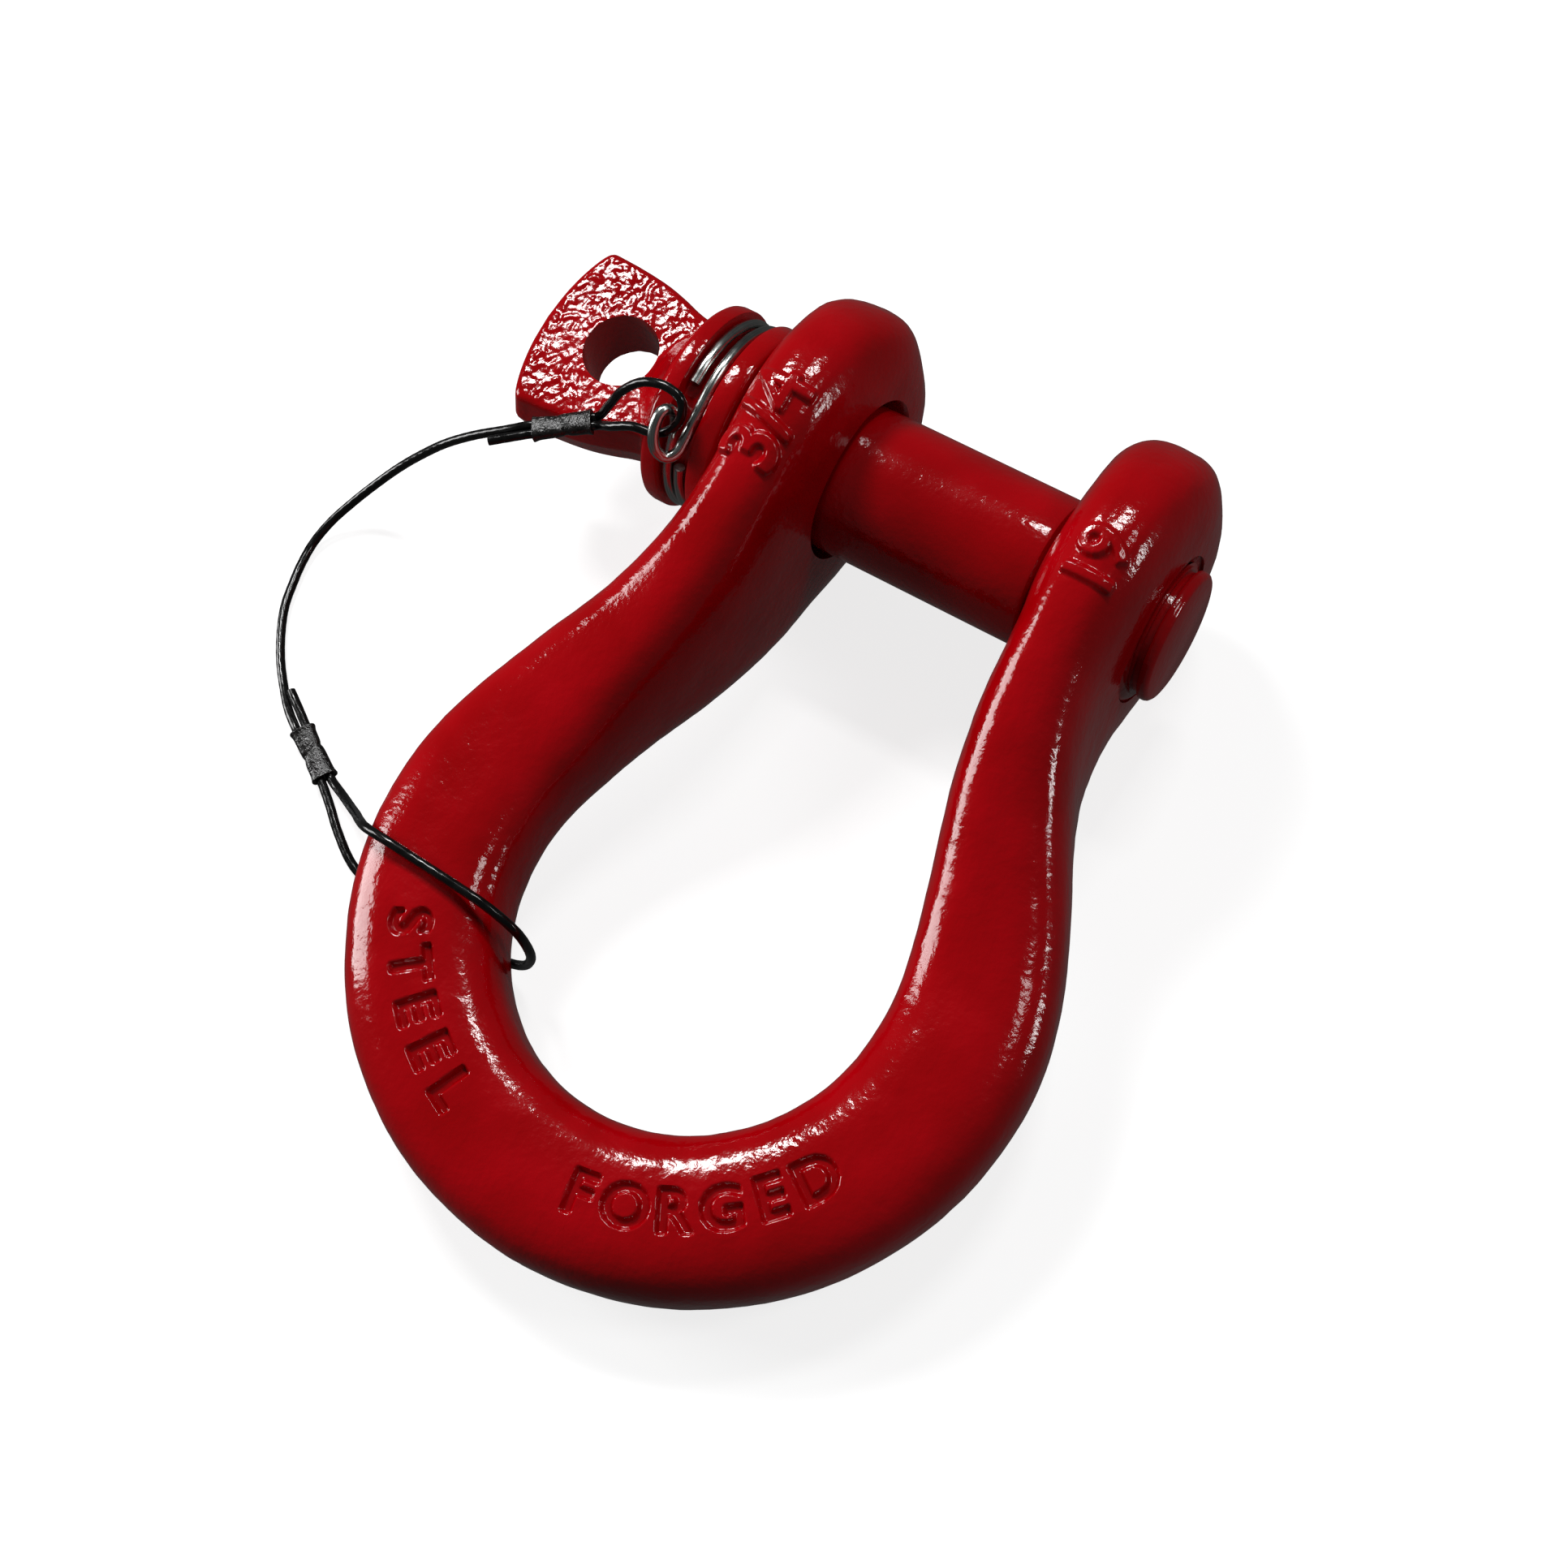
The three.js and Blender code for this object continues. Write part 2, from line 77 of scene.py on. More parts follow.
# ---------------------------------------------------------------- camera

LENS = 57.15
CAMERA_AT = Vector((0.09857, -0.15693, 0.32323))
CAMERA_RIGHT = Vector((0.8411, 0.5351, -0.0786))
CAMERA_UP = Vector((-0.4533, 0.7768, 0.4372))
CAMERA_BACK = Vector((0.295, -0.3321, 0.8959))


def make_camera():
    data = bpy.data.cameras.new("camera")
    data.lens = LENS
    data.sensor_width = 36
    data.clip_start = 0.01
    camera = bpy.data.objects.new("camera", data)
    bpy.context.scene.collection.objects.link(camera)
    turn = Matrix((CAMERA_RIGHT, CAMERA_UP, CAMERA_BACK)).transposed().to_4x4()
    camera.matrix_world = GROUND @ Matrix.Translation(CAMERA_AT) @ turn
    bpy.context.scene.camera = camera


make_camera()


# ---------------------------------------------------------------- modelling helpers


def active(piece):
    bpy.ops.object.select_all(action="DESELECT")
    piece.select_set(True)
    bpy.context.view_layer.objects.active = piece


def named(name):
    piece = bpy.context.object
    piece.name = name
    piece.data.name = name
    return piece


def apply(piece, kind, **values):
    active(piece)
    modifier = piece.modifiers.new(kind.lower(), kind)
    for key, value in values.items():
        setattr(modifier, key, value)
    bpy.ops.object.modifier_apply(modifier=modifier.name)


def cut(piece, tool, operation="DIFFERENCE"):
    apply(piece, "BOOLEAN", object=tool, operation=operation, solver="EXACT")
    bpy.data.objects.remove(tool)


def place(piece, matrix):
    active(piece)
    bpy.ops.object.transform_apply(location=True, rotation=True, scale=True)
    piece.data.transform(matrix)
    piece.data.update()


def outward(piece):
    active(piece)
    bpy.ops.object.mode_set(mode="EDIT")
    bpy.ops.mesh.select_all(action="SELECT")
    bpy.ops.mesh.remove_doubles(threshold=1e-6)
    bpy.ops.mesh.normals_make_consistent(inside=False)
    bpy.ops.object.mode_set(mode="OBJECT")


def smooth(piece, degrees=35):
    active(piece)
    bpy.ops.object.shade_smooth_by_angle(angle=math.radians(degrees))


def select_where(piece, test):
    """In edit mode, selects the vertices whose place passes the test."""
    mesh = bmesh.from_edit_mesh(piece.data)
    for vertex in mesh.verts:
        vertex.select = test(vertex.co)
    mesh.select_flush_mode()
    bmesh.update_edit_mesh(piece.data)


def turned(name, profile, segments=96):
    """A closed shape turned about X from a profile of (x, radius) pairs, in millimetres."""
    bpy.ops.mesh.primitive_circle_add(vertices=3, radius=MM)
    piece = named(name)
    mesh = bmesh.new()
    line = [mesh.verts.new((x * MM, 0, r * MM)) for x, r in profile]
    for a, b in zip(line, line[1:]):
        mesh.edges.new((a, b))
    mesh.to_mesh(piece.data)
    mesh.free()
    bpy.ops.object.mode_set(mode="EDIT")
    bpy.ops.mesh.select_all(action="SELECT")
    bpy.ops.mesh.spin(
        steps=segments, angle=math.tau, center=(0, 0, 0), axis=(1, 0, 0), use_auto_merge=True
    )
    bpy.ops.object.mode_set(mode="OBJECT")
    outward(piece)
    return piece


def rod(name, radius, start, end, segments=96):
    """A plain round bar along X, to cut holes with."""
    bpy.ops.mesh.primitive_cylinder_add(
        vertices=segments,
        radius=radius,
        depth=end - start,
        location=((start + end) / 2, 0, 0),
        rotation=(0, math.pi / 2, 0),
    )
    piece = named(name)
    bpy.ops.object.transform_apply(location=True, rotation=True, scale=True)
    return piece


def sweep(name, stations, push, sides=24):
    """A skin over rings in the XY plane: each station is (centre, turn, half width, half height),
    and push gives how far the first ring's points go out, by their folded angle in degrees."""
    bpy.ops.mesh.primitive_circle_add(vertices=sides, radius=1, rotation=(math.pi / 2, 0, 0))
    piece = named(name)
    bpy.ops.object.transform_apply(location=True, rotation=True, scale=True)
    bpy.ops.object.mode_set(mode="EDIT")
    for degrees, factor in push.items():
        def folded(co):
            angle = math.degrees(math.atan2(abs(co.z), abs(co.x)))
            return abs(min(angle, 90 - angle) - degrees) < 1
        select_where(piece, folded)
        bpy.ops.transform.resize(value=(factor, 1, factor), center_override=(0, 0, 0))
    bpy.ops.mesh.select_all(action="SELECT")
    at, turn, width, height = Vector((0, 0, 0)), 0.0, 1.0, 1.0
    for i, (to, to_turn, to_width, to_height) in enumerate(stations):
        if i:
            bpy.ops.mesh.extrude_edges_move()
            bpy.ops.transform.rotate(value=turn, orient_axis="Z", center_override=at)
        bpy.ops.transform.resize(value=(to_width / width, 1, to_height / height), center_override=at)
        bpy.ops.transform.rotate(value=-to_turn, orient_axis="Z", center_override=at)
        bpy.ops.transform.translate(value=to - at)
        if i in (0, len(stations) - 1):
            bpy.ops.mesh.edge_face_add()
        at, turn, width, height = to, to_turn, to_width, to_height
    bpy.ops.object.mode_set(mode="OBJECT")
    outward(piece)
    return piece


# ---------------------------------------------------------------- bow

BOW_R = 27.5 * MM
CROWN = Vector((0, -68 * MM, 0))
BAR_W = 21.8 * MM
BAR_H = 18.2 * MM
WAIST_W = 14.2 * MM
CROWN_RC = BOW_R + BAR_W / 2
HOLE_R = PIN_R + 1.2 * MM
THREAD_PITCH = 2.5 * MM
THREAD_ROOT = 9.65 * MM
THREAD_TOP = 11 * MM
THREAD_HALF_CREST = 0.15 * MM
THREAD_HALF_ROOT = 1.1 * MM
THREAD_SINK = 0.3 * MM
THREAD_STEPS = 48
BORE_ROOT = THREAD_ROOT + 0.45 * MM
BORE_GAP = 0.35 * MM
LETTER_SIZE = 7.9 * MM


def ease(u):
    """A smooth step: 0 up to u = 0, 1 from u = 1."""
    u = min(max(u, 0), 1)
    return u * u * (3 - 2 * u)


def eased(low, high, s, start, length):
    """Goes smoothly from low to high as s runs on from start by length."""
    return low + (high - low) * ease((s - start) / length)


def leg_line():
    """Points down the middle of the right ear and leg, as far as the middle of the crown."""
    ear_steps, leg_steps, crown_steps = 20, 200, 160
    ear_handle, crown_handle = 24 * MM, 21.5 * MM
    phi = math.radians(17)
    start = Vector((EAR_X, -EAR_R * 0.36, 0))
    end = CROWN + CROWN_RC * Vector((math.cos(phi), math.sin(phi), 0))
    arrive = Vector((math.sin(phi), -math.cos(phi), 0))
    from_ear = start - Vector((0, ear_handle, 0))
    into_crown = end - crown_handle * arrive
    points = [Vector((EAR_X, start.y * i / ear_steps, 0)) for i in range(ear_steps)]
    for i in range(leg_steps):
        t = i / leg_steps
        points.append(
            start * (1 - t) ** 3
            + from_ear * 3 * t * (1 - t) ** 2
            + into_crown * 3 * t * t * (1 - t)
            + end * t**3
        )
    for i in range(crown_steps + 1):
        a = phi - (phi + math.pi / 2) * i / crown_steps
        points.append(CROWN + CROWN_RC * Vector((math.cos(a), math.sin(a), 0)))
    return points


def bow_stations(grow=1.008):
    """Rings over the right ear's rim, down its leg and round the crown, then the same mirrored."""
    nose_length = 8.8 * MM
    rings = 34
    stations = []
    for t in (0.03, 0.12, 0.25, 0.4, 0.55, 0.7, 0.85):
        y = EAR_R * math.cos(t * math.pi / 2)
        nose = max(0, 1 - (EAR_R - y) / nose_length)
        width = EAR_T / 2 * math.sqrt(1 - nose**2)
        stations.append((Vector((EAR_X, y, 0)), 0.0, width, math.sqrt(EAR_R**2 - y**2)))
    points = leg_line()
    length = [0.0]
    for a, b in zip(points, points[1:]):
        length.append(length[-1] + (b - a).length)
    for i in range(rings + 1):
        s = length[-1] * i / rings
        j = min(next(k for k, v in enumerate(length) if v >= s - 1e-12), len(points) - 2)
        along = points[j + 1] - points[max(j - 1, 0)]
        height = eased(EAR_R, BAR_H / 2, s, -3 * MM, 65 * MM)
        upper = eased(EAR_T, WAIST_W, s, 0, 16 * MM)
        width = eased(upper, BAR_W, s, 10 * MM, 62 * MM)
        turn = math.atan2(along.x, -along.y)
        stations.append((points[j], turn, width / 2, height))
    stations = [(at, turn, w * grow, h * grow) for at, turn, w, h in stations]
    middle = stations.pop()
    stations.append((middle[0], -math.pi / 2, middle[2], middle[3]))
    left = [(Vector((-at.x, at.y, 0)), -math.pi - turn, w, h) for at, turn, w, h in stations[:-1]]
    return stations + left[::-1]


def thread(name, start, end, root, crest, half_crest, half_root):
    """One right-handed helical ridge along X, its foot sunk into a core, with closed ends."""
    turns = math.ceil((end - start) / THREAD_PITCH) + 2
    first = (math.floor(start / THREAD_PITCH) - 1) * THREAD_PITCH
    bpy.ops.mesh.primitive_plane_add(size=1, rotation=(0, 0, 0))
    piece = named(name)
    corners = [(-half_root, root), (half_root, root), (half_crest, crest), (-half_crest, crest)]
    for vertex, (x, r) in zip(piece.data.vertices, [corners[0], corners[1], corners[3], corners[2]]):
        vertex.co = (first + x, r, 0)
    bpy.ops.object.mode_set(mode="EDIT")
    bpy.ops.mesh.select_all(action="SELECT")
    bpy.ops.mesh.delete(type="ONLY_FACE")
    bpy.ops.object.mode_set(mode="OBJECT")
    apply(
        piece, "SCREW", axis="X", angle=math.tau, screw_offset=THREAD_PITCH, iterations=turns,
        steps=THREAD_STEPS, render_steps=THREAD_STEPS, use_smooth_shade=False,
    )
    bpy.ops.object.mode_set(mode="EDIT")
    bpy.ops.mesh.select_all(action="SELECT")
    bpy.ops.mesh.fill_holes(sides=4)
    bpy.ops.object.mode_set(mode="OBJECT")
    outward(piece)
    cut(piece, rod(name + "_trim", crest + 1 * MM, start, end), "INTERSECT")
    return piece


def laid(character, size, matrix):
    """A flat character or mark, laid at its place on the plane z = 0."""
    bpy.ops.object.text_add()
    text = bpy.context.object
    text.data.body = character
    text.data.size = size
    text.data.align_x = "CENTER"
    text.data.align_y = "CENTER"
    text.data.resolution_u = 4
    bpy.ops.object.convert(target="MESH")
    piece = named("mark")
    piece.data.transform(matrix)
    return piece


def round_crown(word, first_degrees, step, size):
    """A word's characters round the crown, upright towards its middle."""
    marks = []
    for i, character in enumerate(word):
        at = math.radians(first_degrees + step * i)
        to = CROWN + CROWN_RC * 1.005 * Vector((math.sin(at), -math.cos(at), 0))
        marks.append(laid(character, size, Matrix.Translation(to) @ Matrix.Rotation(at, 4, "Z")))
    return marks


def on_rim(word, x, y, size):
    """A mark on an ear's upper rim, read along +Y."""
    return laid(word, size, Matrix.Translation((x, y, 0)) @ Matrix.Rotation(math.pi / 2, 4, "Z"))


def impress(bow, marks, height, edge):
    """Raises the bow's upper skin over the marks, or sinks it, fading out over the edge's width."""
    near, facing_up, cuts = 1.7 * MM, 0.25, 4
    bpy.ops.object.select_all(action="DESELECT")
    for mark in marks:
        mark.select_set(True)
    bpy.context.view_layer.objects.active = marks[0]
    bpy.ops.object.join()
    flat = bpy.context.object
    tree = BVHTree.FromObject(flat, bpy.context.evaluated_depsgraph_get())

    def away(co, most):
        return tree.find_nearest(Vector((co.x, co.y, 0)), most)[3]

    active(bow)
    bpy.ops.object.mode_set(mode="EDIT")
    bpy.ops.mesh.select_mode(type="FACE")
    mesh = bmesh.from_edit_mesh(bow.data)
    for face in mesh.faces:
        upper = face.normal.z > facing_up and len(face.verts) < 6
        face.select = upper and away(face.calc_center_median(), near) is not None
    mesh.select_flush_mode()
    bmesh.update_edit_mesh(bow.data)
    bpy.ops.mesh.subdivide(number_cuts=cuts)
    bpy.ops.mesh.select_mode(type="VERT")
    bpy.ops.object.mode_set(mode="OBJECT")
    group = bow.vertex_groups.new(name="marks")
    for vertex in bow.data.vertices:
        distance = away(vertex.co, edge) if vertex.normal.z > 0.2 else None
        if distance is not None:
            group.add([vertex.index], 1 - ease(distance / edge), "REPLACE")
    apply(bow, "DISPLACE", strength=height, mid_level=0, vertex_group="marks")
    bow.vertex_groups.clear()
    bpy.data.objects.remove(flat)


def through(name, radius, start, end, mouth):
    """A cutter along X for a hole through an ear, wider at its two mouths."""
    clear, outer, inner = 5 * MM, 0.3 * MM, 0.6 * MM
    line = [(start - clear, mouth), (start - outer, mouth), (start + inner, radius)]
    line += [(end - inner, radius), (end + outer, mouth), (end + clear, mouth)]
    profile = [(x / MM, r / MM) for x, r in line]
    return turned(name, [(profile[0][0], 0), *profile, (profile[-1][0], 0)], 128)


def roughen(bow, name, scale, strength):
    """Uneven skin: a cloud pattern of this scale pushes it in and out."""
    clouds = bpy.data.textures.new(name, "CLOUDS")
    clouds.noise_scale = scale
    apply(
        bow, "DISPLACE", texture=clouds, strength=strength, mid_level=0.5, texture_coords="LOCAL"
    )


def make_bow():
    bow = sweep("bow_forging", bow_stations(), {15: 1.03, 30: 1.10, 45: 1.14})
    apply(bow, "SUBSURF", levels=2, render_levels=2)
    roughen(bow, "hammer_marks", 11 * MM, 0.28 * MM)
    roughen(bow, "coat_ripple", 2.6 * MM, 0.15 * MM)
    flare, past, crest_room = 0.7 * MM, 3 * MM, 0.3 * MM
    cut(bow, through("plain_hole", HOLE_R, -EAR_OUT, -JAW / 2, HOLE_R + flare))
    bore = through("bore", BORE_ROOT, JAW / 2, EAR_OUT, THREAD_TOP + flare)
    ridge = thread(
        "bore_thread", JAW / 2 - past, EAR_OUT + past, BORE_ROOT - THREAD_SINK,
        THREAD_TOP + crest_room, THREAD_HALF_CREST + BORE_GAP, THREAD_HALF_ROOT,
    )
    cut(bore, ridge, "UNION")
    cut(bow, bore)
    words = round_crown("STEEL", -60.5, 9.1, LETTER_SIZE)
    words += round_crown("FORGED", 10, 9.4, LETTER_SIZE)
    impress(bow, words, -0.95 * MM, 0.55 * MM)
    size_marks = [
        on_rim("3/4", -24 * MM, -5.9 * MM, 11 * MM),
        on_rim("19", 25.2 * MM, -3.8 * MM, 9.2 * MM),
    ]
    impress(bow, size_marks, 0.8 * MM, 0.72 * MM)
    smooth(bow, 50)
    place(bow, SHACKLE)
    return bow


# ---------------------------------------------------------------- screw pin

# Places along the pin, from the middle of the jaw, and the sizes of its head are in millimetres.
SEAT_X = -32.7
GROOVE_X = SEAT_X - 3.6
FLANGE_X = GROOVE_X - 5
HEAD_X = FLANGE_X - 2.9
TAB_T = 10.6
HOLE_X = HEAD_X - 12.3
HOLE_D = 11.4


def pin_body():
    """Collar with its groove, shank, thread core, undercut and end disc, in one turned shape."""
    rim, floor, shank, root = 15.3, 12.6, PIN_R / MM, THREAD_ROOT / MM
    edge = [(0.0, 0.9), (0.12, 0.43), (0.43, 0.12), (0.9, 0.0)]
    profile = [(HEAD_X + 0.2, 0)]
    profile += [(HEAD_X + a, rim - b) for a, b in edge]
    profile += [(FLANGE_X - 0.3, rim), (FLANGE_X - 0.08, rim - 0.08), (FLANGE_X, rim - 0.3)]
    profile += [(FLANGE_X, floor + 0.3), (FLANGE_X + 0.1, floor + 0.1), (FLANGE_X + 0.3, floor)]
    profile += [(GROOVE_X - 0.3, floor), (GROOVE_X - 0.1, floor + 0.1), (GROOVE_X, floor + 0.3)]
    profile += [(GROOVE_X, rim - 0.3), (GROOVE_X + 0.08, rim - 0.08), (GROOVE_X + 0.3, rim)]
    profile += [(SEAT_X - a, rim - b) for a, b in reversed(edge)]
    profile += [(SEAT_X, shank + 0.6), (SEAT_X + 0.15, shank + 0.15), (SEAT_X + 0.5, shank)]
    profile += [(x, shank) for x in (-20, -10, 0, 10)]
    profile += [(14.2, shank), (14.8, shank - 0.2), (15.6, root), (32.4, root)]
    profile += [(32.4, 9), (33.4, 9), (33.4, 9.5), (33.5, 9.65), (33.7, 9.7)]
    profile += [(34.2, 9.7), (34.6, 9.55), (34.9, 9.2), (35, 8.9), (35, 0)]
    return turned("screw_pin_forging", profile, 128)


def tab_blank():
    """The eye tab between its drafted faces, sunk into the collar at its inner end."""
    half = [
        (HEAD_X + 1, 11), (-47, 11.1), (-49.5, 11.6), (-52, 12.4), (-56, 13.4), (-60.5, 14),
        (-65, 14.3), (-67.2, 14.3), (-67.9, 13.6), (-69.2, 10.4), (-70.3, 5.4), (-70.7, 0),
    ]
    side = fine_line([Vector((x, y, 0)) for x, y in half], 0.9)
    outline = [(p.x, p.y) for p in side] + [(p.x, -p.y) for p in side[-2::-1]]
    bpy.ops.mesh.primitive_circle_add(vertices=len(outline), radius=MM, fill_type="NGON")
    piece = named("tab")
    for vertex, (x, y) in zip(piece.data.vertices, outline):
        vertex.co = (x * MM, y * MM, 0)
    middle = (HOLE_X * MM, 0, 0)
    draft, half_t = 0.925, TAB_T / 2 * MM
    bpy.ops.object.mode_set(mode="EDIT")
    bpy.ops.mesh.select_all(action="SELECT")
    bpy.ops.transform.translate(value=(0, 0, -half_t))
    bpy.ops.transform.resize(value=(draft, draft, 1), center_override=middle)
    bpy.ops.mesh.extrude_region_move(TRANSFORM_OT_translate={"value": (0, 0, half_t)})
    bpy.ops.transform.resize(value=(1 / draft, 1 / draft, 1), center_override=middle)
    bpy.ops.mesh.extrude_region_move(TRANSFORM_OT_translate={"value": (0, 0, half_t)})
    bpy.ops.transform.resize(value=(draft, draft, 1), center_override=middle)
    bpy.ops.object.mode_set(mode="OBJECT")
    outward(piece)
    apply(
        piece, "BEVEL", width=1.8 * MM, segments=3, limit_method="ANGLE",
        angle_limit=math.radians(60),
    )
    return piece


def make_head():
    """The tab and its neck grown together, pebbled on the two faces and drilled through."""
    head = tab_blank()
    neck = [
        (-51.4, 0), (-51.1, 4.8), (-50, 6.6), (-48.8, 8.2), (-47.6, 9.6), (-46.4, 11.2),
        (-45.4, 12.8), (-44.6, 14.1), (HEAD_X + 0.1, 14.6), (HEAD_X + 1.2, 14.6), (HEAD_X + 1.2, 0),
    ]
    cut(head, turned("neck", neck, 64), "UNION")
    apply(head, "REMESH", mode="VOXEL", voxel_size=0.25 * MM)
    apply(head, "SMOOTH", factor=0.5, iterations=5)
    pebbles = bpy.data.textures.new("pebbles", "CLOUDS")
    pebbles.noise_scale = 0.8 * MM
    pebbles.noise_depth = 1
    faces = head.vertex_groups.new(name="faces")
    for vertex in head.data.vertices:
        flat = ease((abs(vertex.normal.z) - 0.9) / 0.08)
        clear_of_collar = ease((HEAD_X * MM - vertex.co.x) / (3 * MM))
        faces.add([vertex.index], flat * clear_of_collar, "REPLACE")
    apply(
        head, "DISPLACE", texture=pebbles, strength=0.3 * MM, mid_level=0.5,
        texture_coords="LOCAL", vertex_group="faces",
    )
    apply(head, "SMOOTH", factor=0.4, iterations=1)
    bpy.ops.mesh.primitive_cylinder_add(
        vertices=96, radius=HOLE_D / 2 * MM, depth=30 * MM, location=(HOLE_X * MM, 0, 0)
    )
    hole = named("tab_hole")
    bpy.ops.object.transform_apply(location=True, rotation=True, scale=True)
    cut(head, hole)
    return head


def make_pin():
    head = make_head()
    pin = pin_body()
    ridge = thread(
        "pin_thread", 15.5 * MM, 32 * MM, THREAD_ROOT - THREAD_SINK, THREAD_TOP,
        THREAD_HALF_CREST, THREAD_HALF_ROOT,
    )
    cut(pin, ridge, "UNION")
    cut(pin, head, "UNION")
    smooth(pin, 38)
    place(pin, SHACKLE)
    return pin


# ---------------------------------------------------------------- retaining ring

WIRE_D = 1.7 * MM
TURN_R = 13.75 * MM
RING_SEAT = 0.3
RING_X = FLANGE_X + RING_SEAT + WIRE_D / MM / 2
EYE_AT = 130
# The eye's points: millimetres along the pin, degrees past the eye's middle, lift in millimetres.
EYE = [
    (0.1, 8, 0.1), (0.2, -1, 0.6), (0.2, -7, 1.4), (-0.3, -11.5, 3), (-0.9, -9.5, 4.1),
    (-1, -4, 4.6), (-0.6, 3, 4.7), (0.2, 8.5, 4.3), (1.4, 11, 3.4), (2.4, 8, 2.3),
    (2.6, 2, 1.5), (2.55, -8, 0.6),
]


def round_pin(x, degrees, lift=0.0):
    a = math.radians(degrees)
    r = TURN_R + lift * MM
    return Vector((x * MM, r * math.cos(a), r * math.sin(a)))


def ring_turn(x, drift, first, span, steps=24):
    """A turn of the wire from first degrees back through span, while x falls by drift."""
    return [round_pin(x - drift * i / steps, first - span * i / steps) for i in range(steps + 1)]


def ring_points():
    """The wire's middle line: a turn, the small eye bent up, and a turn beside the first."""
    points = ring_turn(RING_X, 0, 101, 311)
    points += [round_pin(RING_X + step, EYE_AT + past, lift) for step, past, lift in EYE]
    points += ring_turn(RING_X + 2.5, 0.55, 110, 317)
    return points


def fine_line(points, step):
    """Points at even steps along one smooth curve through the given points."""
    per_span = 24
    ends = [2 * points[0] - points[1], *points, 2 * points[-1] - points[-2]]
    dense = []
    for p0, p1, p2, p3 in zip(ends, ends[1:], ends[2:], ends[3:]):
        t1 = (p1 - p0).length ** 0.5
        t2 = t1 + (p2 - p1).length ** 0.5
        t3 = t2 + (p3 - p2).length ** 0.5
        for i in range(per_span):
            t = t1 + (t2 - t1) * i / per_span
            a1 = p0 * ((t1 - t) / t1) + p1 * (t / t1)
            a2 = p1 * ((t2 - t) / (t2 - t1)) + p2 * ((t - t1) / (t2 - t1))
            a3 = p2 * ((t3 - t) / (t3 - t2)) + p3 * ((t - t2) / (t3 - t2))
            b1 = a1 * ((t2 - t) / t2) + a2 * (t / t2)
            b2 = a2 * ((t3 - t) / (t3 - t1)) + a3 * ((t - t1) / (t3 - t1))
            dense.append(b1 * ((t2 - t) / (t2 - t1)) + b2 * ((t - t1) / (t2 - t1)))
    dense.append(points[-1])
    length = [0.0]
    for a, b in zip(dense, dense[1:]):
        length.append(length[-1] + (b - a).length)
    count = round(length[-1] / step)
    line, j = [], 0
    for i in range(count + 1):
        s = length[-1] * i / count
        while j < len(dense) - 2 and length[j + 1] < s:
            j += 1
        u = (s - length[j]) / (length[j + 1] - length[j])
        line.append(dense[j].lerp(dense[j + 1], u))
    return line


def tube(name, line, profile, twist):
    """A closed tube with a UV map along a line of points; profile gives its radii round a ring,
    and each metre turns it by twist."""
    data = bpy.data.curves.new(name, "CURVE")
    data.dimensions = "3D"
    data.twist_mode = "MINIMUM"
    data.use_fill_caps = True
    section = bpy.data.curves.new(name + "_section", "CURVE")
    ring = section.splines.new("POLY")
    ring.points.add(len(profile) - 1)
    for i, r in enumerate(profile):
        a = math.tau * i / len(profile)
        ring.points[i].co = (r * math.cos(a), r * math.sin(a), 0, 1)
    ring.use_cyclic_u = True
    section_piece = bpy.data.objects.new(name + "_section", section)
    bpy.context.scene.collection.objects.link(section_piece)
    data.bevel_mode = "OBJECT"
    data.bevel_object = section_piece
    spline = data.splines.new("POLY")
    spline.points.add(len(line) - 1)
    along = 0.0
    for i, point in enumerate(line):
        along += (point - line[i - 1]).length if i else 0
        spline.points[i].co = (*point, 1)
        spline.points[i].tilt = along * twist
    piece = bpy.data.objects.new(name, data)
    bpy.context.scene.collection.objects.link(piece)
    active(piece)
    bpy.ops.object.convert(target="MESH")
    piece = named(name)
    bpy.data.objects.remove(section_piece)
    outward(piece)
    smooth(piece, 40)
    return piece


def make_ring():
    line = fine_line(ring_points(), 0.7 * MM)
    ring = tube("retaining_ring_wire", line, [WIRE_D / 2] * 20, 0)
    place(ring, SHACKLE)
    return ring


# ---------------------------------------------------------------- lanyard

# The routes and the ferrules' places are in millimetres, in the ground frame.
CABLE_D = 1.4 * MM
CABLE_STRANDS = 6
CABLE_LAY = 11 * MM
CABLE_GROOVE = 0.012
STRAND_STEP = 1.5
FERRULE_L = 8.8
FERRULE_HALF_W = 1.8 * MM
FERRULE_HALF_H = 1.06 * MM
UPPER_FERRULE = (Vector((-56.65, -15.45, 28.5)), Vector((6.6, 4.3, 1)))
LOWER_FERRULE = (Vector((-69.85, -68.8, 2.15)), Vector((7.7, -4.6, -0.5)))


def strand(ferrule, side):
    """Points of the cable through one barrel of a ferrule."""
    at, along = ferrule
    along = along.normalized()
    across = Vector((along.y, -along.x, 0)).normalized()
    middle = at + across * side * STRAND_STEP / 2
    half, outside, inside = FERRULE_L / 2, 0.8, 0.4
    places = (-half - outside, inside - half, half - inside, half + outside)
    return [tuple(middle + along * d) for d in places]


